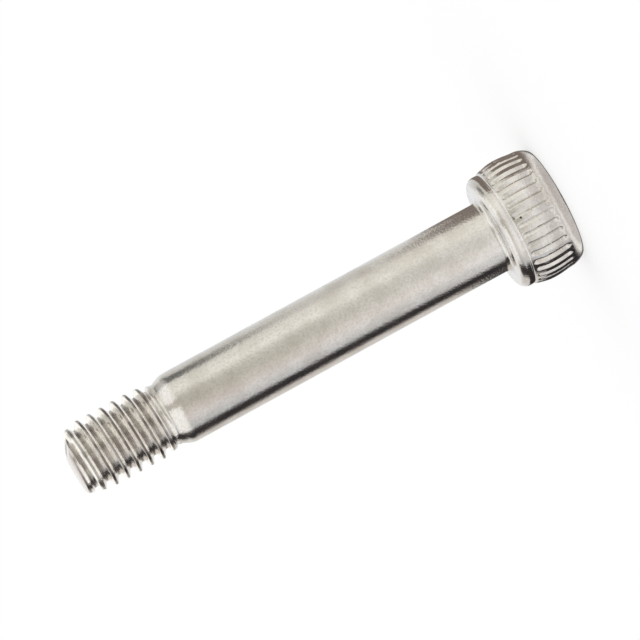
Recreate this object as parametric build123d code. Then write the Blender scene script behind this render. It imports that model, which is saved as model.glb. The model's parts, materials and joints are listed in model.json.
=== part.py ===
from build123d import *
from math import ceil, cos, pi, radians, sin, tan
import os

# A shoulder bolt made in one piece: a round knurled head with a hexagon socket,
# a plain shoulder and a short M4 x 0.7 thread of the shoulder's own diameter.
# It stands on its head: Z = 0 is the head's top face, and +Z runs along the
# axis to the thread's end. Sizes are in millimetres, angles in degrees.

# Head: heights run from the top face towards the bearing face
head_height = 3.72
top_face_diameter = 6.00
crown_height = 0.84  # rounded part, from the top face to the upper collar
crown_corner_height = 0.33  # where the collar's line meets the slope of the rim
upper_collar_diameter = 6.72
upper_collar_height = 0.10
upper_taper_height = 0.60  # from the upper collar out to the ridges
ridge_diameter = 6.90
lower_taper_height = 0.84  # from the ridges in to the lower collar
lower_collar_diameter = 6.40
lower_collar_height = 0.13
bearing_face_diameter = 5.84
bearing_edge_height = 0.45  # rounded edge between collar and bearing face
bearing_corner_height = 0.15  # where the collar's line meets the slope of the edge

# Knurl: straight V flutes round the head, from the crown to the lower collar
flute_count = 36
flute_depth = 0.11  # below the surface that the flute is cut in
flute_half_angle = 50.0
flute_crown_reach = 0.12  # how far the flutes run on into the crown
flute_crown_run = 0.16  # over which they grow to their depth there
flute_lower_margin = 0.27  # plain strip between the flutes and the lower collar
flute_lower_run = 0.13  # over which they grow to their depth there
flute_phase = 6.4  # first flute, from +X
flute_cutter_height = 0.15
flute_cutter_lift = 0.003  # of the cutter's root above the surface, at its two ends

# Hexagon socket in the top face
socket_across_flats = 3.0
socket_depth = 2.0
socket_point_half_angle = 60.0
socket_mouth_diameter = 3.66
socket_mouth_half_angle = 60.0

# Shoulder
shoulder_diameter = 3.96
shoulder_length = 19.0
head_fillet_reach = 0.30  # of the rounded corner under the head, along face and shoulder

# Thread, right hand
thread_diameter = 4.0  # nominal
pitch = 0.70
crest_allowance = 0.03  # the crests lie this far inside the nominal size
flank_half_angle = 30.0
thread_length = 5.60  # from the neck to the end face
neck_cone_length = 0.60  # from the shoulder down to the neck
neck_diameter = 3.44
crest_taper_length = 1.00  # over which the last crests sink to the neck
groove_start_angle = 127.0  # where the groove leaves the end face, from +X
runout_length = 0.38  # from the neck to where the groove starts to grow shallow
runout_slope = 0.50
groove_cutter_share = 0.97  # of the height at which neighbouring turns would meet
groove_points = 8  # along each turn of the groove's edges

# Thread end: a flat face with a broken rim, worn to a slope on the +X side
end_face_diameter = 2.90
end_rim_diameter = 3.32
end_rim_height = 0.12
end_chamfer_length = 1.25
end_slope_start = 0.36  # distance from the axis
end_slope_angle = 19.0

# Levels along the axis
bearing_z = head_height
shoulder_end_z = bearing_z + shoulder_length
neck_z = shoulder_end_z + neck_cone_length
end_z = neck_z + thread_length

# Metric thread form, from the height of its sharp V
sharp_height = pitch / 2 / tan(radians(flank_half_angle))
thread_depth = 17 / 24 * sharp_height
root_radius = thread_diameter / 2 - thread_depth
root_flat = pitch / 6
crest_radius = thread_diameter / 2 - crest_allowance
neck_radius = neck_diameter / 2

# Collars of the head
upper_collar_end = crown_height + upper_collar_height
lower_collar_end = bearing_z - bearing_edge_height
lower_collar_start = lower_collar_end - lower_collar_height
ridge_start = upper_collar_end + upper_taper_height
ridge_end = lower_collar_start - lower_taper_height


def plain_bolt():
    """The bolt without socket, knurl and thread groove, turned from its outline."""
    crown_r = upper_collar_diameter / 2
    top_r = top_face_diameter / 2
    ridge_r = ridge_diameter / 2
    collar_r = lower_collar_diameter / 2
    bearing_r = bearing_face_diameter / 2
    shoulder_r = shoulder_diameter / 2
    end_r = end_face_diameter / 2
    rim_r = end_rim_diameter / 2
    with BuildPart() as turned:
        with BuildSketch(Plane.XZ):
            with BuildLine():
                Polyline((0, end_z), (0, 0), (top_r, 0))
                Bezier((crown_r, crown_height), (crown_r, crown_corner_height), (top_r, 0))
                Polyline(
                    (crown_r, crown_height),
                    (crown_r, upper_collar_end),
                    (ridge_r, ridge_start),
                    (ridge_r, ridge_end),
                    (collar_r, lower_collar_start),
                    (collar_r, lower_collar_end),
                )
                Bezier(
                    (collar_r, lower_collar_end),
                    (collar_r, bearing_z - bearing_corner_height),
                    (bearing_r, bearing_z),
                )
                Line((bearing_r, bearing_z), (shoulder_r + head_fillet_reach, bearing_z))
                Bezier(
                    (shoulder_r + head_fillet_reach, bearing_z),
                    (shoulder_r, bearing_z),
                    (shoulder_r, bearing_z + head_fillet_reach),
                )
                Polyline(
                    (shoulder_r, bearing_z + head_fillet_reach),
                    (shoulder_r, shoulder_end_z),
                    (neck_radius, neck_z),
                    (crest_radius, neck_z + crest_taper_length),
                    (crest_radius, end_z - end_chamfer_length),
                    (rim_r, end_z - end_rim_height),
                    (end_r, end_z),
                    (0, end_z),
                )
            make_face()
        revolve(axis=Axis.Z)
    return turned.part


def hex_socket():
    """Solid that fills the socket: hexagon, conical floor and countersunk mouth."""
    floor_r = socket_across_flats / 2
    mouth_r = socket_mouth_diameter / 2
    hexagon = extrude(RegularPolygon(floor_r, 6, major_radius=False), socket_depth)
    floor_height = floor_r / tan(radians(socket_point_half_angle))
    floor = Pos(0, 0, socket_depth + floor_height / 2) * Cone(floor_r, 0, floor_height)
    mouth_height = mouth_r / tan(radians(socket_mouth_half_angle))
    mouth = Pos(0, 0, mouth_height / 2) * Cone(mouth_r, 0, mouth_height)
    return hexagon + floor + mouth


def faceted_solid(sections):
    """Closed solid that joins sections of equally many points, with flat faces."""
    count = len(sections[0])
    faces = [Face(Wire.make_polygon(sections[0])), Face(Wire.make_polygon(sections[-1]))]
    for near, far in zip(sections, sections[1:]):
        for i in range(count):
            j = (i + 1) % count
            faces.append(Face(Wire.make_polygon([near[i], near[j], far[j], far[i]])))
    return Solid(Shell(faces))


def flute():
    """Solid that cuts one flute at +X: a V whose root rises to the surface at both ends."""
    crown_r = upper_collar_diameter / 2
    ridge_r = ridge_diameter / 2
    taper = (ridge_diameter - lower_collar_diameter) / 2 / lower_taper_height
    crown_z = crown_height - flute_crown_reach
    lower_z = lower_collar_start - flute_lower_margin
    lower_r = lower_collar_diameter / 2 + taper * flute_lower_margin
    root_line = [
        (crown_r + flute_cutter_lift, crown_z),
        (crown_r - flute_depth, crown_z + flute_crown_run),
        (ridge_r - flute_depth, ridge_start),
        (ridge_r - flute_depth, ridge_end),
        (lower_r + taper * flute_lower_run - flute_depth, lower_z - flute_lower_run),
        (lower_r + flute_cutter_lift, lower_z),
    ]
    half_width = flute_cutter_height * tan(radians(flute_half_angle))
    sections = []
    for r, z in root_line:
        outer_r = r + flute_cutter_height
        sections.append([(r, 0, z), (outer_r, half_width, z), (outer_r, -half_width, z)])
    return faceted_solid(sections)


def groove_point(travel, outward, along):
    """Point of the thread groove's cutter, after a travel along the axis from the end face."""
    angle = radians(groove_start_angle) - 2 * pi * travel / pitch
    shallow = max(0, travel - (thread_length - runout_length)) * runout_slope
    radius = root_radius + shallow + outward
    return Vector(radius * cos(angle), radius * sin(angle), end_z - travel + along)


def evenly(start, stop, longest):
    """Values from start to stop, in equal strides no longer than this."""
    strides = ceil((stop - start) / longest)
    return [start + (stop - start) * i / strides for i in range(strides + 1)]


def groove_edge(start, stop, outward, along):
    """Helical edge of the cutter between two travels, with the helix's own slope at its ends."""
    travels = evenly(start, stop, pitch / groove_points)
    points = [groove_point(travel, outward, along) for travel in travels]
    nudge = pitch / 1000
    ends = [
        (groove_point(start + nudge, outward, along) - points[0]) / nudge,
        (points[-1] - groove_point(stop - nudge, outward, along)) / nudge,
    ]
    return Edge.make_spline(points, tangents=ends, parameters=travels, scale=False)


def thread_groove():
    """Solid that cuts the groove: a trapezoid wound from beyond the end face to the neck."""
    flank_slope = tan(radians(flank_half_angle))
    root_half = root_flat / 2
    cutter_height = groove_cutter_share * (pitch / 2 - root_half) / flank_slope
    outer_half = root_half + cutter_height * flank_slope
    corners = [(0, -root_half), (0, root_half), (cutter_height, outer_half), (cutter_height, -outer_half)]
    full_depth_end = thread_length - runout_length
    runout_end = full_depth_end + thread_depth / runout_slope
    stops = evenly(-pitch, full_depth_end, pitch / 2) + evenly(full_depth_end, runout_end, pitch / 2)[1:]
    faces = []
    for start, stop in zip(stops, stops[1:]):
        edges = [groove_edge(start, stop, outward, along) for outward, along in corners]
        for i in range(len(edges)):
            faces.append(Face.make_surface_from_curves(edges[i - 1], edges[i]))
    for travel in (stops[0], stops[-1]):
        faces.append(Face(Wire.make_polygon([groove_point(travel, *corner) for corner in corners])))
    return Solid(Shell(faces))


def end_slope():
    """Block that cuts the slope of the end face."""
    side = Align.MIN
    block = Box(thread_diameter, 2 * thread_diameter, thread_diameter, align=(side, Align.CENTER, side))
    return Pos(end_slope_start, 0, end_z) * Rot(0, end_slope_angle, 0) * block


flutes = [Rot(0, 0, flute_phase + 360 / flute_count * i) * flute() for i in range(flute_count)]
shoulder_bolt = plain_bolt() - hex_socket() - flutes - thread_groove() - end_slope()

os.makedirs("parts", exist_ok=True)
export_step(shoulder_bolt, "parts/shoulder_bolt.step")
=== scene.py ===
# Shoulder bolt: knurled socket head, plain shoulder and M4 thread, standing on its head.
# The bolt is modelled at 1 unit = 1 mm and brought down to metres at the end.
import json
from math import atan2, cos, degrees, hypot, pi, radians, sin, sqrt, tan

import bmesh
import bpy
from mathutils import Matrix, Vector


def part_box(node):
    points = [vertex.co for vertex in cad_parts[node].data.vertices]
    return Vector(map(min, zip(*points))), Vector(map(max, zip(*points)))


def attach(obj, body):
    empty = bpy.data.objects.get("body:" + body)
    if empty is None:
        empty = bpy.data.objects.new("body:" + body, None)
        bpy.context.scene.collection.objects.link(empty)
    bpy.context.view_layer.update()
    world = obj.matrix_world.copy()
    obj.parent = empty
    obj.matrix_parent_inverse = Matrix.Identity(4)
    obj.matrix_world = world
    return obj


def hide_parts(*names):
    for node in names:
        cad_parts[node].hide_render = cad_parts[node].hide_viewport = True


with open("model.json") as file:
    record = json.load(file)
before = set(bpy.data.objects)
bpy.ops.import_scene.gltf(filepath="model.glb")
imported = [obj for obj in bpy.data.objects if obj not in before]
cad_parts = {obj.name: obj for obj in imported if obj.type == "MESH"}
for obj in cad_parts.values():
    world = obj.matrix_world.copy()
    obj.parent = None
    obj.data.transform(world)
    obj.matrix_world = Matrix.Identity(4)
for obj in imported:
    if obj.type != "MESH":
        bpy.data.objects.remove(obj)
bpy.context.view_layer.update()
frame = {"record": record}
print("frame loaded")

boltLow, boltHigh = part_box("shoulder_bolt")
mounts = {mount["name"]: mount for mount in frame["record"]["mounts"]}
mm = 1000.0  # millimetres in a metre

levels = {  # heights above the head's top face, in mm
    "bearing": mounts["bearing_face"]["pos_m"][2] * mm,
    "end": boltHigh.z * mm,
}
radii = {
    "shoulder": mounts["shoulder"]["dims"]["r_mm"],
    "crest": mounts["thread"]["dims"]["r_mm"],
    "ridge": (boltHigh.x - boltLow.x) / 2 * mm,
}


def deselectAll():
    if bpy.context.object and bpy.context.object.mode == "EDIT":
        bpy.ops.object.mode_set(mode="OBJECT")
    bpy.ops.object.select_all(action="DESELECT")


def editOnly(piece):
    deselectAll()
    piece.select_set(True)
    bpy.context.view_layer.objects.active = piece
    bpy.ops.object.mode_set(mode="EDIT")
    bpy.context.tool_settings.mesh_select_mode = (True, False, False)


def pickPoints(piece, wanted):
    shape = bmesh.from_edit_mesh(piece.data)
    for face in shape.faces:
        face.select = False
    for edge in shape.edges:
        edge.select = False
    for point in shape.verts:
        point.select = wanted(point.co)
    shape.select_flush(True)
    bmesh.update_edit_mesh(piece.data)


def drawOutline(name, corners):
    # one point, pulled out along the (radius, height) corners
    deselectAll()
    bpy.ops.mesh.primitive_plane_add(size=0.1, location=(0, 0, 0))
    outline = bpy.context.object
    outline.name = name
    editOnly(outline)
    bpy.ops.mesh.select_all(action="SELECT")
    bpy.ops.mesh.merge(type="CENTER")
    bpy.ops.transform.translate(value=(corners[0][0], 0, corners[0][1]))
    for near, far in zip(corners, corners[1:]):
        step = (far[0] - near[0], 0, far[1] - near[1])
        bpy.ops.mesh.extrude_region_move(TRANSFORM_OT_translate={"value": step})
    return outline


def roundCorner(outline, corner, reach, segments):
    place = Vector((corner[0], 0, corner[1]))
    pickPoints(outline, lambda co: (co - place).length < 1e-3)
    bpy.ops.mesh.bevel(offset=reach, segments=segments, affect="VERTICES")


def closeSeams(piece, gap):
    bpy.ops.mesh.select_all(action="SELECT")
    bpy.ops.mesh.remove_doubles(threshold=gap)
    bpy.ops.mesh.normals_make_consistent(inside=False)


headSizes = {
    "topFace": 3.00,
    "rimRounding": 0.10,
    "crown": (3.36, 0.33),  # corner that is rounded into the crown
    "crownRounding": 0.48,
    "collarEnd": 0.94,
    "collarRounding": 0.25,
    "ridgeStart": 1.54,
    "ridgeEnd": 2.30,
    "ridgeRoundings": (0.30, 0.35),  # at its start and at its end
    "landEnd": (3.255, 2.96),  # where the knurled land drops to a narrow groove
    "landRounding": 0.03,
    "collarGroove": (3.185, 3.02, 3.06),  # radius, start and end of its floor
    "lowerCollar": 3.20,
    "lowerCollarStart": 3.10,
    "lowerCollarEnd": 3.27,
    "lowerCollarRounding": 0.015,
    "bearingCorner": 3.57,
    "bearingRounding": 0.28,
    "bearingFace": 2.92,
    "bearingFaceRounding": 0.05,
    "fillet": 0.30,
    "knurlCuts": 34,  # about equal lengths along the knurl zone
}
knurlSizes = {
    "flutes": 36,
    "columns": 12,  # steps of the turning in one flute's share
    "halfAngle": 50.0,
    "depths": [  # height, depth
        (0.72, 0), (0.88, 0.10), (1.50, 0.11), (2.74, 0.11), (2.80, 0.085), (2.87, 0),
    ],
    "rootRounding": 0.02,
    "edgeRounding": 0.010,
    "phase": 6.4,  # first flute, from +X
}
neckSizes = {
    "shoulderEnd": 22.72,
    "neck": 23.32,
    "neckRadius": 1.72,
    "rounding": 0.22,
    "bridge": 0.05,  # from the shoulder piece's last ring to the neck
    "trim": 0.03,  # from the neck to the thread's first ring
}


def between(stops, place):
    # value at a place, on straight lines between (place, value) stops
    for (x0, y0), (x1, y1) in zip(stops, stops[1:]):
        if x0 <= place <= x1:
            return y0 + (y1 - y0) * (place - x0) / (x1 - x0)
    return stops[0][1] if place < stops[0][0] else stops[-1][1]


def turnHead():
    h = headSizes
    crownCorner = h["crown"]
    bearingCorner = (h["lowerCollar"], h["bearingCorner"])
    filletCorner = (radii["shoulder"], levels["bearing"])
    grooveFloor, grooveStart, grooveEnd = h["collarGroove"]
    corners = [
        (0, 0), (h["topFace"], 0), crownCorner, (h["crown"][0], h["collarEnd"]),
        (radii["ridge"], h["ridgeStart"]), (radii["ridge"], h["ridgeEnd"]), h["landEnd"],
        (grooveFloor, grooveStart), (grooveFloor, grooveEnd),
        (h["lowerCollar"], h["lowerCollarStart"]), (h["lowerCollar"], h["lowerCollarEnd"]),
        bearingCorner, (h["bearingFace"], levels["bearing"]), filletCorner,
        (radii["shoulder"], neckSizes["shoulderEnd"]),
        (neckSizes["neckRadius"], neckSizes["neck"] - neckSizes["bridge"]),
    ]
    head = drawOutline("shoulderBolt", corners)
    roundCorner(head, (h["topFace"], 0), h["rimRounding"], 3)
    roundCorner(head, crownCorner, h["crownRounding"], 7)
    roundCorner(head, bearingCorner, h["bearingRounding"], 5)
    roundCorner(head, filletCorner, h["fillet"], 5)
    for corner, reach in [
        ((h["crown"][0], h["collarEnd"]), h["collarRounding"]),
        ((radii["ridge"], h["ridgeStart"]), h["ridgeRoundings"][0]),
        ((radii["ridge"], h["ridgeEnd"]), h["ridgeRoundings"][1]),
        (h["landEnd"], h["landRounding"]),
        ((h["lowerCollar"], h["lowerCollarStart"]), h["lowerCollarRounding"]),
        ((h["bearingFace"], levels["bearing"]), h["bearingFaceRounding"]),
    ]:
        roundCorner(head, corner, reach, 3)
    roundCorner(head, (radii["shoulder"], neckSizes["shoulderEnd"]), neckSizes["rounding"], 6)
    return head


def splitKnurlZone(head):
    # edges of the knurl zone cut to about equal lengths
    start, end = knurlSizes["depths"][0][0], knurlSizes["depths"][-1][0]
    longest = (end - start) / headSizes["knurlCuts"]

    def inZone(edge):
        return all(
            start - 0.05 < point.co.z < end + 0.1 and point.co.x > headSizes["topFace"]
            for point in edge.verts)

    def cuts(edge):
        return round(edge.calc_length() / longest)

    shape = bmesh.from_edit_mesh(head.data)
    for count in sorted({cuts(edge) for edge in shape.edges if inZone(edge)}):
        if count < 2:
            continue
        pickPoints(head, lambda co: False)
        shape = bmesh.from_edit_mesh(head.data)
        for edge in shape.edges:
            if inZone(edge) and cuts(edge) == count:
                edge.select = True
        bmesh.update_edit_mesh(head.data)
        bpy.context.tool_settings.mesh_select_mode = (False, True, False)
        bpy.ops.mesh.subdivide(number_cuts=count - 1)
        bpy.context.tool_settings.mesh_select_mode = (True, False, False)


def pressFlute(head):
    # one V flute on the middle line of the sector
    k = knurlSizes
    start, end = k["depths"][0][0], k["depths"][-1][0]
    middle = pi / k["flutes"]
    step = 2 * middle / k["columns"]
    rise = 1 / tan(radians(k["halfAngle"]))
    pairs = {}  # points at one height, as far to either side
    for point in bmesh.from_edit_mesh(head.data).verts:
        radius = hypot(point.co.x, point.co.y)
        if start < point.co.z < end and radius > headSizes["bearingFace"]:
            side = abs(round((atan2(point.co.y, point.co.x) - middle) / step))
            pairs.setdefault((round(point.co.z, 4), side), []).append((point.index, radius))
    for (height, side), members in sorted(pairs.items()):
        radius = members[0][1]
        across = radius * side * step
        wall = rise * (sqrt(across ** 2 + k["rootRounding"] ** 2) - k["rootRounding"])
        level = wall - between(k["depths"], height)  # of the V, below or above the surface
        pressed = (level - sqrt(level ** 2 + k["edgeRounding"] ** 2)) / 2
        if pressed > -0.001:
            continue
        chosen = {index for index, near in members}
        shape = bmesh.from_edit_mesh(head.data)
        bpy.ops.mesh.select_all(action="DESELECT")
        for point in shape.verts:
            point.select = point.index in chosen
        bmesh.update_edit_mesh(head.data)
        share = 1 + pressed / radius
        bpy.ops.transform.resize(value=(share, share, 1), center_override=(0, 0, 0))


head = turnHead()
splitKnurlZone(head)
sector = 2 * pi / knurlSizes["flutes"]
bpy.ops.mesh.select_all(action="SELECT")
bpy.ops.mesh.spin(steps=knurlSizes["columns"], angle=sector, center=(0, 0, 0), axis=(0, 0, -1))
closeSeams(head, 1e-4)
pressFlute(head)
print("flute sector turned")
bpy.ops.mesh.select_all(action="SELECT")
bpy.ops.mesh.spin(
    steps=knurlSizes["flutes"] - 1, angle=2 * pi - sector, dupli=True, center=(0, 0, 0), axis=(0, 0, 1))
closeSeams(head, 1e-4)
bpy.ops.object.mode_set(mode="OBJECT")
head.data.transform(Matrix.Rotation(radians(knurlSizes["phase"]) - sector / 2, 4, "Z"))
print("head and shoulder turned:", len(head.data.vertices))


socketSizes = {
    "acrossFlats": 3.0,
    "depth": 2.0,
    "floorHeight": 0.866,
    "mouth": 1.83,
    "mouthHeight": 1.0566,
}


def cutAway(piece, cutter):
    deselectAll()
    piece.select_set(True)
    bpy.context.view_layer.objects.active = piece
    cut = piece.modifiers.new("cut", "BOOLEAN")
    cut.operation = "DIFFERENCE"
    cut.solver = "EXACT"
    cut.object = cutter
    bpy.ops.object.modifier_apply(modifier="cut")
    bpy.data.objects.remove(cutter)


def broachSocket(piece):
    s = socketSizes
    lift = 0.2  # how far the cutters reach beyond the top face
    overlap = 0.001
    deselectAll()
    bpy.ops.mesh.primitive_cylinder_add(
        vertices=6, radius=s["acrossFlats"] / 2 / cos(pi / 6), depth=s["depth"] + lift,
        location=(0, 0, (s["depth"] - lift) / 2), rotation=(0, 0, pi / 6))
    cutAway(piece, bpy.context.object)
    bpy.ops.mesh.primitive_cone_add(
        vertices=96, radius1=s["acrossFlats"] / 2, radius2=0, depth=s["floorHeight"],
        location=(0, 0, s["depth"] - overlap + s["floorHeight"] / 2))
    cutAway(piece, bpy.context.object)
    slope = s["mouth"] / s["mouthHeight"]
    bpy.ops.mesh.primitive_cone_add(
        vertices=96, radius1=s["mouth"] + slope * lift, radius2=0, depth=s["mouthHeight"] + lift,
        location=(0, 0, (s["mouthHeight"] - lift) / 2))
    cutAway(piece, bpy.context.object)


broachSocket(head)
print("socket broached:", len(head.data.vertices))


threadSizes = {
    "pitch": 0.70,
    "rootRadius": 1.5706,
    "rootFlat": 0.70 / 6,
    "flankAngle": 30.0,
    "turns": 10,
    "steps": 120,
    "blankSteps": 240,  # round the turned blanks that the thread is fitted to
    "grooveAngle": 127.0,  # where the groove leaves the end face, from +X
    "rootRounding": 0.045,
    "crestRounding": 0.05,
    "endFace": 1.45,
    "endRim": (1.66, 0.12),  # radius and depth below the end face
    "endChamfer": 1.25,
    "endRing": 0.73,  # share of the radius at which the end face stays level
    "slope": (0.36, 19.0),  # of the end face: distance from the axis, angle
    "crestTaper": 1.00,
    "runout": 0.38,
    "runoutSlope": 0.50,
}


def windThread():
    t = threadSizes
    slope = tan(radians(t["flankAngle"]))
    rootHalf = t["rootFlat"] / 2
    crestStart = rootHalf + (radii["crest"] - t["rootRadius"]) * slope
    start = levels["end"] + t["pitch"] * (1 - t["grooveAngle"] / 360)
    tooth = [
        (t["rootRadius"], start), (t["rootRadius"], start + rootHalf),
        (radii["crest"], start + crestStart), (radii["crest"], start + t["pitch"] - crestStart),
        (t["rootRadius"], start + t["pitch"] - rootHalf), (t["rootRadius"], start + t["pitch"]),
    ]
    thread = drawOutline("thread", tooth)
    for corner in (tooth[1], tooth[4]):
        roundCorner(thread, corner, t["rootRounding"], 3)
    for corner in (tooth[2], tooth[3]):
        roundCorner(thread, corner, t["crestRounding"], 3)
    shape = bmesh.from_edit_mesh(thread.data)
    bpy.ops.mesh.select_all(action="DESELECT")
    for edge in shape.edges:  # the flanks
        edge.select = edge.calc_length() > 0.15
    bmesh.update_edit_mesh(thread.data)
    bpy.context.tool_settings.mesh_select_mode = (False, True, False)
    bpy.ops.mesh.subdivide(number_cuts=3)
    bpy.context.tool_settings.mesh_select_mode = (True, False, False)
    bpy.ops.mesh.select_all(action="SELECT")
    bpy.ops.mesh.screw(steps=t["steps"], turns=t["turns"], center=(0, 0, 0), axis=(0, 0, -1))
    closeSeams(thread, 1e-4)
    bpy.ops.mesh.select_all(action="SELECT")
    bpy.ops.mesh.bisect(
        plane_co=(0, 0, levels["end"]), plane_no=(0, 0, 1), clear_outer=True, use_fill=True)
    # inner ring, which stays level when the rim is fitted
    ring = t["endRing"]
    bpy.ops.mesh.extrude_region_move()
    bpy.ops.transform.resize(value=(ring, ring, 1), center_override=(0, 0, levels["end"]))
    bpy.ops.object.mode_set(mode="OBJECT")
    return thread


def trimThread(thread):
    # square cut just above the neck, where the thread has sunk to a plain round
    editOnly(thread)
    bpy.ops.mesh.select_all(action="SELECT")
    bpy.ops.mesh.bisect(
        plane_co=(0, 0, neckSizes["neck"] + neckSizes["trim"]), plane_no=(0, 0, 1), clear_inner=True)
    bpy.ops.object.mode_set(mode="OBJECT")


def turnedBlank():
    t = threadSizes
    end = levels["end"]
    neck = neckSizes["neck"]
    blank = drawOutline("threadBlank", [
        (0, neck - 0.5), (neckSizes["neckRadius"], neck - 0.5), (neckSizes["neckRadius"], neck),
        (radii["crest"], neck + t["crestTaper"]), (radii["crest"], end - t["endChamfer"]),
        (t["endRim"][0], end - t["endRim"][1]), (t["endFace"], end), (0, end),
    ])
    bpy.ops.mesh.select_all(action="SELECT")
    bpy.ops.mesh.spin(steps=t["blankSteps"], angle=2 * pi, center=(0, 0, 0), axis=(0, 0, 1))
    closeSeams(blank, 1e-4)
    bpy.ops.object.mode_set(mode="OBJECT")
    return blank


def runoutCore():
    t = threadSizes
    low = neckSizes["neck"] - 0.1
    high = neckSizes["neck"] + t["runout"]
    outer = t["rootRadius"] + (high - low) * t["runoutSlope"]
    core = drawOutline("runoutCore", [(0, low), (outer, low), (t["rootRadius"], high), (0, high)])
    bpy.ops.mesh.select_all(action="SELECT")
    bpy.ops.mesh.spin(steps=t["blankSteps"], angle=2 * pi, center=(0, 0, 0), axis=(0, 0, 1))
    closeSeams(core, 1e-4)
    bpy.ops.object.mode_set(mode="OBJECT")
    return core


def fitThread(thread, guide, side):
    deselectAll()
    thread.select_set(True)
    bpy.context.view_layer.objects.active = thread
    fit = thread.modifiers.new("fit", "SHRINKWRAP")
    fit.wrap_method = "NEAREST_SURFACEPOINT"
    fit.wrap_mode = side
    fit.target = guide
    bpy.ops.object.modifier_apply(modifier="fit")
    bpy.data.objects.remove(guide)


def joinThread(head, thread):
    deselectAll()
    thread.select_set(True)
    head.select_set(True)
    bpy.context.view_layer.objects.active = head
    bpy.ops.object.join()
    editOnly(head)
    low = neckSizes["neck"] - neckSizes["bridge"] - 1e-3
    high = neckSizes["neck"] + neckSizes["trim"] + 1e-3
    shape = bmesh.from_edit_mesh(head.data)
    bpy.ops.mesh.select_all(action="DESELECT")
    bpy.context.tool_settings.mesh_select_mode = (False, True, False)
    for edge in shape.edges:
        edge.select = edge.is_boundary and all(low < point.co.z < high for point in edge.verts)
    bmesh.update_edit_mesh(head.data)
    bpy.ops.mesh.bridge_edge_loops()
    bpy.context.tool_settings.mesh_select_mode = (True, False, False)
    closeSeams(head, 1e-4)


def slopeEnd(piece):
    # worn slope on the +X side of the end face
    start, angle = threadSizes["slope"]
    tilt = radians(angle)
    editOnly(piece)
    bpy.ops.mesh.select_all(action="SELECT")
    bpy.ops.mesh.bisect(
        plane_co=(start, 0, levels["end"]), plane_no=(sin(tilt), 0, cos(tilt)),
        clear_outer=True, use_fill=True)
    bpy.ops.object.mode_set(mode="OBJECT")


thread = windThread()
fitThread(thread, runoutCore(), "OUTSIDE")
fitThread(thread, turnedBlank(), "INSIDE")
trimThread(thread)
print("thread wound:", len(thread.data.vertices))
joinThread(head, thread)
slopeEnd(head)
editOnly(head)
bpy.ops.mesh.select_all(action="SELECT")
bpy.ops.transform.resize(value=(1 / mm, 1 / mm, 1 / mm), center_override=(0, 0, 0))
bpy.ops.object.mode_set(mode="OBJECT")
bpy.ops.object.shade_smooth_by_angle(angle=radians(32))
bolt = head
print("bolt joined:", len(bolt.data.polygons))


steelLook = {
    "colour": (0.80, 0.785, 0.76, 1),
    "dull": (0.70, 0.675, 0.64, 1),
    "burnishAndHighlight": (0.95, 0.93, 0.885, 1),  # brighter thread zone: partly burnish from the rolling, partly a painted highlight that makes up for light lost between the flanks
    "speckle": (0.58, 0.56, 0.53, 1),
    "paintedShade": (0.19, 0.165, 0.16, 1),  # painted shade along the thread's crests and in its roots
    "crestEdge": (0.62, 0.95),  # of the painted shade, on a wave that is 1 at the crests
    "rootEdge": (0.70, 0.94),  # of the painted shade, on a wave that is 1 at the roots
    "rootCover": 0.96,
    "paintedShadeCover": (0.70, 1.00),
    "paintedShadeRoughness": 0.15,
    "threadZone": (23.65, 28.78),
    "worn": (0.62, 0.59, 0.57, 1),  # rim and face of the end
    "wornFrom": 28.62,
    # noises: scale, detail, roughness, then the values between which they count
    "clouds": (900, 4, 0.5, 0.35, 0.70),
    "patches": (1400, 3, 0.5, 0.40, 0.62),  # in the painted shade
    "specks": (7500, 3, 0.65, 0.42, 0.68),
    "speckShare": 0.5,
    # skin: scale, detail, strength and distance in mm
    "grain": (8000, 2, 0.8, 0.009),  # of the tumbled skin
    "peel": (3200, 3, 0.6, 0.010),  # shallow waves left by forming
    "roughness": (0.14, 0.20),
    "darkSpot": (0.05, 0.04, 0.035, 1),  # darker spots at the pits, which are not cut into the surface
    "pitWobble": (9000, 0.10),  # scale of the noise, and how far it moves their edges, in mm
    "pits": [  # place in mm, radius in mm
        ((0.31, -3.35, 2.85), 0.13), ((0.16, -3.42, 2.54), 0.09), ((-0.78, -3.33, 1.45), 0.07),
        ((0.38, -1.86, 28.22), 0.07), ((-0.16, -1.89, 28.20), 0.05), ((1.44, -1.24, 27.70), 0.07),
        ((-0.02, -1.98, 25.17), 0.05),
    ],
}


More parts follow.
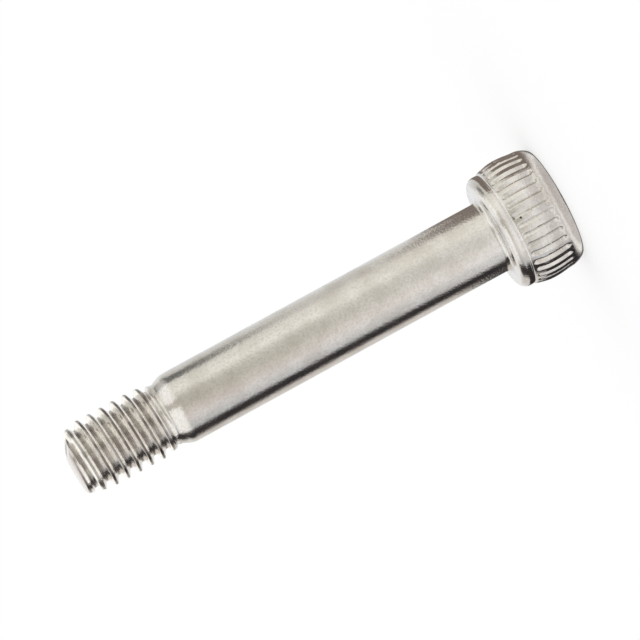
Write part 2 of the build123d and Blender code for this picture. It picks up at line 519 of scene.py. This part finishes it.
def steelMaterial():
    look = steelLook
    steel = bpy.data.materials.new("stainlessSteel")
    steel.use_nodes = True
    nodes = steel.node_tree.nodes
    links = steel.node_tree.links
    shader = nodes["Principled BSDF"]
    shader.inputs["Metallic"].default_value = 1.0
    place = nodes.new("ShaderNodeTexCoord")

    def mathNode(operation, first, second=None):
        node = nodes.new("ShaderNodeMath")
        node.operation = operation
        for slot, value in ((0, first), (1, second)):
            if isinstance(value, (int, float)):
                node.inputs[slot].default_value = value
            elif value is not None:
                links.new(value, node.inputs[slot])
        return node.outputs[0]

    def add(first, second):
        return mathNode("ADD", first, second)

    def subtract(first, second):
        return mathNode("SUBTRACT", first, second)

    def multiply(first, second):
        return mathNode("MULTIPLY", first, second)

    def fade(value, low, high):
        node = nodes.new("ShaderNodeMapRange")
        node.interpolation_type = "SMOOTHSTEP"
        node.inputs["From Min"].default_value = low
        node.inputs["From Max"].default_value = high
        links.new(value, node.inputs["Value"])
        return node.outputs["Result"]

    def noise(scale, detail, roughness=0.5):
        node = nodes.new("ShaderNodeTexNoise")
        node.inputs["Scale"].default_value = scale
        node.inputs["Detail"].default_value = detail
        node.inputs["Roughness"].default_value = roughness
        links.new(place.outputs["Object"], node.inputs["Vector"])
        return node.outputs["Fac"]

    def cover(name):
        scale, detail, roughness, low, high = look[name]
        return fade(noise(scale, detail, roughness), low, high)

    def mixColour(share, first, second):
        node = nodes.new("ShaderNodeMix")
        node.data_type = "RGBA"
        links.new(share, node.inputs["Factor"])
        for slot, value in (("A", first), ("B", second)):
            socket = [i for i in node.inputs if i.name == slot and i.type == "RGBA"][0]
            if isinstance(value, tuple):
                socket.default_value = value
            else:
                links.new(value, socket)
        return [o for o in node.outputs if o.type == "RGBA"][0]

    def skin(name, under=None):
        scale, detail, strength, distance = look[name]
        bump = nodes.new("ShaderNodeBump")
        bump.inputs["Strength"].default_value = strength
        bump.inputs["Distance"].default_value = distance / mm
        links.new(noise(scale, detail), bump.inputs["Height"])
        if under:
            links.new(under, bump.inputs["Normal"])
        return bump.outputs["Normal"]

    def threadPaintedShade(axes, zone):
        # painted shade on a wave along the groove's helix: 1 at the roots, -1 at the crests
        angle = mathNode("ARCTAN2", axes["Y"], axes["X"])
        travel = subtract(levels["end"] / mm, axes["Z"])
        turned = multiply(travel, 2 * pi / (threadSizes["pitch"] / mm))
        turned = add(turned, subtract(angle, radians(threadSizes["grooveAngle"])))
        wave = mathNode("COSINE", turned)
        crest = fade(multiply(wave, -1.0), *look["crestEdge"])
        root = multiply(fade(wave, *look["rootEdge"]), look["rootCover"])
        wound = multiply(mathNode("MAXIMUM", crest, root), zone)
        thin, thick = look["paintedShadeCover"]
        return multiply(wound, add(multiply(cover("patches"), thick - thin), thin))

    def pitDarkSpots():
        # dark spots painted at the pits; the pits are not cut into the surface
        scale, reach = look["pitWobble"]
        wobble = multiply(subtract(noise(scale, 2), 0.5), reach / mm)
        darkSpot = None
        for spot, size in look["pits"]:
            gap = nodes.new("ShaderNodeVectorMath")
            gap.operation = "DISTANCE"
            gap.inputs[1].default_value = [value / mm for value in spot]
            links.new(place.outputs["Object"], gap.inputs[0])
            distance = add(gap.outputs["Value"], wobble)
            pit = subtract(1.0, fade(distance, size * 0.5 / mm, size * 1.1 / mm))
            darkSpot = pit if darkSpot is None else mathNode("MAXIMUM", darkSpot, pit)
        return darkSpot

    split = nodes.new("ShaderNodeSeparateXYZ")
    links.new(place.outputs["Object"], split.inputs[0])
    axes = {name: split.outputs[name] for name in "XYZ"}
    low, high = [z / mm for z in look["threadZone"]]
    beyond = fade(axes["Z"], high, high + 0.1 / mm)
    zone = multiply(fade(axes["Z"], low, low + 0.3 / mm), subtract(1.0, beyond))
    paintedShade = threadPaintedShade(axes, zone)
    clouds = cover("clouds")
    # the thread zone brightened: partly burnish, partly painted highlight
    colour = mixColour(zone, mixColour(clouds, look["colour"], look["dull"]), look["burnishAndHighlight"])
    colour = mixColour(multiply(cover("specks"), look["speckShare"]), colour, look["speckle"])
    worn = fade(axes["Z"], look["wornFrom"] / mm, (look["wornFrom"] + 0.1) / mm)
    # painted shade along the thread's crests and in its roots
    colour = mixColour(paintedShade, mixColour(worn, colour, look["worn"]), look["paintedShade"])
    links.new(mixColour(pitDarkSpots(), colour, look["darkSpot"]), shader.inputs["Base Color"])
    smooth, rough = look["roughness"]
    roughness = add(multiply(clouds, rough - smooth), smooth)
    links.new(add(roughness, multiply(paintedShade, look["paintedShadeRoughness"])), shader.inputs["Roughness"])
    links.new(skin("peel", skin("grain")), shader.inputs["Normal"])
    return steel


bolt.data.materials.clear()
bolt.data.materials.append(steelMaterial())
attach(bolt, "root")
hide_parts("shoulder_bolt")
print("steel given")


floorLook = {
    "radius": 1.2,
    "paper": 0.40,
    "lift": 0.605,  # glow that brings the lit paper to white for the camera
}


def layFloor():
    deselectAll()
    bpy.ops.mesh.primitive_circle_add(
        vertices=128, radius=floorLook["radius"], fill_type="NGON", location=(0, 0, 0))
    floor = bpy.context.object
    floor.name = "floor"
    paper = bpy.data.materials.new("whitePaper")
    paper.use_nodes = True
    tree = paper.node_tree
    shader = tree.nodes["Principled BSDF"]
    shader.inputs["Base Color"].default_value = (*[floorLook["paper"]] * 3, 1)
    shader.inputs["Roughness"].default_value = 1.0
    shader.inputs["Specular IOR Level"].default_value = 0.0
    rays = tree.nodes.new("ShaderNodeLightPath")
    shader.inputs["Emission Color"].default_value = (1, 1, 1, 1)
    lift = tree.nodes.new("ShaderNodeMath")
    lift.operation = "MULTIPLY"
    lift.inputs[1].default_value = floorLook["lift"]
    tree.links.new(rays.outputs["Is Camera Ray"], lift.inputs[0])
    tree.links.new(lift.outputs[0], shader.inputs["Emission Strength"])
    floor.data.materials.append(paper)
    floor.visible_glossy = False


tentSizes = {
    "radius": 0.040,
    "bottom": -0.030,
    "top": 0.070,
    "columns": 240,
    "rings": 100,
    "lowRow": -2,  # heights, in mm, of the two rows of cloth tones
    "highRow": 18,
    "whiteFrom": (23, 38),
    "groundFrom": (-13, -8),
    "brightFoot": (-21, -15),
    # azimuth from the camera's side, tone of the low row, tone of the high row
    "cloth": [
        (-180, (0.95, 0.96, 0.98), (0.95, 0.96, 0.98)),
        (-150, (0.85, 0.86, 0.87), (0.85, 0.86, 0.87)),
        (-125, (0.76, 0.75, 0.71), (0.74, 0.73, 0.69)),
        (-100, (0.78, 0.76, 0.72), (0.72, 0.70, 0.66)),
        (-75, (0.92, 0.88, 0.81), (0.86, 0.84, 0.77)),
        (-45, (1.05, 1.02, 0.96), (0.98, 0.96, 0.88)),
        (-33, (1.03, 1.01, 0.96), (0.76, 0.74, 0.67)),
        (-22, (0.98, 0.96, 0.94), (0.62, 0.60, 0.53)),
        (0, (0.97, 0.96, 0.94), (0.59, 0.56, 0.49)),
        (25, (1.03, 1.00, 0.98), (0.75, 0.70, 0.65)),
        (48, (1.03, 1.00, 0.98), (0.82, 0.78, 0.77)),
        (62, (0.84, 0.83, 0.82), (0.68, 0.68, 0.67)),
        (78, (0.74, 0.74, 0.74), (0.62, 0.62, 0.64)),
        (125, (0.80, 0.74, 0.69), (0.74, 0.69, 0.65)),
        (145, (0.74, 0.71, 0.68), (0.74, 0.71, 0.68)),
        (165, (0.88, 0.87, 0.85), (0.88, 0.87, 0.85)),
        (180, (0.95, 0.96, 0.98), (0.95, 0.96, 0.98)),
    ],
    "white": (1.10, 1.085, 1.05),
    "ground": (0.70, 0.66, 0.645),
    "foot": (1.0, 0.98, 0.95),
    "groundFar": (0.05, 0.045, 0.045),  # behind the bolt
    "farEdge": (144, 156),  # azimuths between which the foot of the cloth turns to it
    "farWedge": 1.6,  # slope of the sides of the dark wedge on the ground
    "wedgeEdge": (-1, 7),  # in mm
}
# flags before the cloth: rows of height, near edge, far edge and cover
blackFlag = {
    "side": 1,
    "rows": [
        (-21, 84, 140, 0), (-13, 82, 155, 1), (-2, 80, 172, 1), (-0.9, 80.5, 172, 1),
        (0.2, 84.5, 166, 1), (1.6, 89.5, 146, 1), (3.6, 88, 121, 1), (5.9, 85, 119, 1),
        (8, 82, 118, 1), (10.5, 81, 117, 1), (18, 81, 119, 1), (26, 86, 130, 1),
        (30, 88, 130, 1), (40, 92, 128, 1), (43, 96, 125, 1), (48, 100, 125, 0),
    ],
    "lowTone": (0.035, 0.030, 0.032),
    "highTone": (0.035, 0.030, 0.032),
    "nearEdge": 13,
    "farEdge": 22,
}
brownFlag = {
    "side": -1,
    "rows": [
        (-24, 84, 122, 0), (-13, 80, 140, 0.9), (-9, 78, 168, 1), (1.2, 79, 168, 1),
        (2.4, 80, 162, 1), (3.4, 84, 122, 1), (4.4, 87, 114, 0.9), (5.4, 88, 113, 0.35),
        (6.6, 90, 115, 0), (12.2, 93, 118, 0.03), (13.8, 92, 117, 0.12), (15.8, 90, 116, 0.32),
        (17.6, 88, 115, 0.45), (19, 86, 113, 0.90), (26, 88, 126, 0.7), (30, 90, 126, 0.45),
        (40, 94, 126, 0.45), (43, 96, 125, 0.4), (48, 100, 125, 0),
    ],
    "lowTone": (0.24, 0.20, 0.175),
    "highTone": (0.05, 0.05, 0.05),
    "nearEdge": 12,
    "farEdge": 12,
}
greyFlag = {
    "side": -1,
    "rows": [(24, 4, 27, 0), (31, 4, 27, 0.85), (60, 4, 27, 0.85), (64, 4, 27, 0)],
    "lowTone": (0.50, 0.46, 0.40),
    "highTone": (0.50, 0.46, 0.40),
    "nearEdge": 8,
    "farEdge": 8,
}


def blend(first, second, share):
    return tuple(x + (y - x) * share for x, y in zip(first, second))


def softStep(value, low, high):
    share = min(max((value - low) / (high - low), 0), 1)
    return share * share * (3 - 2 * share)


def flagTone(tone, flag, azimuth, height):
    turn = azimuth * flag["side"]
    near = between([(row[0], row[1]) for row in flag["rows"]], height)
    far = between([(row[0], row[2]) for row in flag["rows"]], height)
    cover = between([(row[0], row[3]) for row in flag["rows"]], height)
    nearHalf = flag["nearEdge"] / 2
    farHalf = flag["farEdge"] / 2
    cover *= softStep(turn, near - nearHalf, near + nearHalf)
    cover *= 1 - softStep(turn, far - farHalf, far + farHalf)
    return blend(tone, blend(flag["lowTone"], flag["highTone"], softStep(height, 6, 14)), cover)


def tentTone(azimuth, height):
    # azimuth in degrees from the camera's side, positive towards -X; height in mm
    t = tentSizes
    rise = min(max((height - t["lowRow"]) / (t["highRow"] - t["lowRow"]), 0), 1)
    low = [between([(stop[0], stop[1][i]) for stop in t["cloth"]], azimuth) for i in range(3)]
    high = [between([(stop[0], stop[2][i]) for stop in t["cloth"]], azimuth) for i in range(3)]
    tone = blend(blend(low, high, rise), t["white"], softStep(height, *t["whiteFrom"]))
    ground = blend(t["foot"], t["ground"], softStep(height, *t["brightFoot"]))
    ground = blend(ground, t["groundFar"], softStep(abs(azimuth), *t["farEdge"]))
    tone = blend(ground, tone, softStep(height, *t["groundFrom"]))
    for flag in (blackFlag, brownFlag, greyFlag):
        tone = flagTone(tone, flag, azimuth, height)
    return tone


def groundTone(x, y):
    # the tent's bottom, dark in a wedge behind the bolt
    t = tentSizes
    inWedge = (y - t["farWedge"] * abs(x)) * mm
    return blend(t["ground"], t["groundFar"], softStep(inWedge, *t["wedgeEdge"]))


def paintGlow(piece, tone):
    glow = piece.data.color_attributes.new("glow", "FLOAT_COLOR", "POINT")
    for point, paint in zip(piece.data.vertices, glow.data):
        paint.color = (*tone(point.co), 1)
    cloth = bpy.data.materials.new(piece.name + "Cloth")
    cloth.use_nodes = True
    tree = cloth.node_tree
    tree.nodes.clear()
    out = tree.nodes.new("ShaderNodeOutputMaterial")
    emit = tree.nodes.new("ShaderNodeEmission")
    paint = tree.nodes.new("ShaderNodeVertexColor")
    paint.layer_name = "glow"
    tree.links.new(paint.outputs["Color"], emit.inputs["Color"])
    tree.links.new(emit.outputs["Emission"], out.inputs["Surface"])
    piece.data.materials.append(cloth)
    piece.visible_camera = False
    piece.visible_diffuse = False
    piece.visible_shadow = False
    piece.visible_transmission = False


def raiseTent():
    t = tentSizes
    deselectAll()
    bpy.ops.mesh.primitive_cylinder_add(
        vertices=t["columns"], radius=t["radius"], depth=t["top"] - t["bottom"], end_fill_type="NOTHING",
        location=(0, 0, (t["top"] + t["bottom"]) / 2))
    tent = bpy.context.object
    tent.name = "lightTent"
    bpy.ops.object.transform_apply(location=True)
    editOnly(tent)
    bpy.ops.mesh.select_all(action="DESELECT")
    bpy.context.tool_settings.mesh_select_mode = (False, True, False)
    shape = bmesh.from_edit_mesh(tent.data)
    for edge in shape.edges:
        edge.select = abs(edge.verts[0].co.z - edge.verts[1].co.z) > 0.01
    bmesh.update_edit_mesh(tent.data)
    bpy.ops.mesh.subdivide(number_cuts=t["rings"])
    bpy.ops.object.mode_set(mode="OBJECT")
    paintGlow(tent, lambda co: tentTone(degrees(atan2(-co.x, -co.y)), co.z * mm))
    deselectAll()
    bpy.ops.mesh.primitive_grid_add(
        x_subdivisions=40, y_subdivisions=40, size=2 * t["radius"], location=(0, 0, t["bottom"]))
    ground = bpy.context.object
    ground.name = "tentGround"
    bpy.ops.object.transform_apply(location=True)
    paintGlow(ground, lambda co: groundTone(co.x, co.y))


def lightWorld():
    world = bpy.data.worlds.new("whiteStudio")
    world.use_nodes = True
    world.node_tree.nodes["Background"].inputs["Color"].default_value = (1, 1, 1, 1)
    world.node_tree.nodes["Background"].inputs["Strength"].default_value = 1.0
    bpy.context.scene.world = world


layFloor()
raiseTent()
lightWorld()
print("stage set")


cameraSizes = {
    "lens": 312.0,
    "sensor": 36.0,
    "frameWidth": 0.03339,  # of the view, at the bolt
    "aim": (0.000479, 0, 0.013888),
    "elevation": 6.6,
    "roll": 28.65,  # how far the bolt leans from level in the view
}


def placeCamera():
    c = cameraSizes
    lift = radians(c["elevation"])
    roll = radians(c["roll"])
    back = Vector((0, -cos(lift), sin(lift)))
    along = Vector((0, -sin(lift), -cos(lift)))  # towards the head, level before the roll
    up = Vector((1, 0, 0))
    right = along * cos(roll) - up * sin(roll)
    upright = along * sin(roll) + up * cos(roll)
    camera = bpy.data.objects.new("camera", bpy.data.cameras.new("camera"))
    bpy.context.scene.collection.objects.link(camera)
    camera.data.lens = c["lens"]
    camera.data.sensor_width = c["sensor"]
    camera.data.clip_start = 0.01
    camera.data.clip_end = 5
    distance = c["frameWidth"] * c["lens"] / c["sensor"]
    turn = Matrix((right, upright, back)).transposed().to_4x4()
    camera.matrix_world = Matrix.Translation(Vector(c["aim"]) + back * distance) @ turn
    bpy.context.scene.camera = camera


placeCamera()
bpy.context.scene.view_settings.view_transform = "Standard"
print("camera placed")
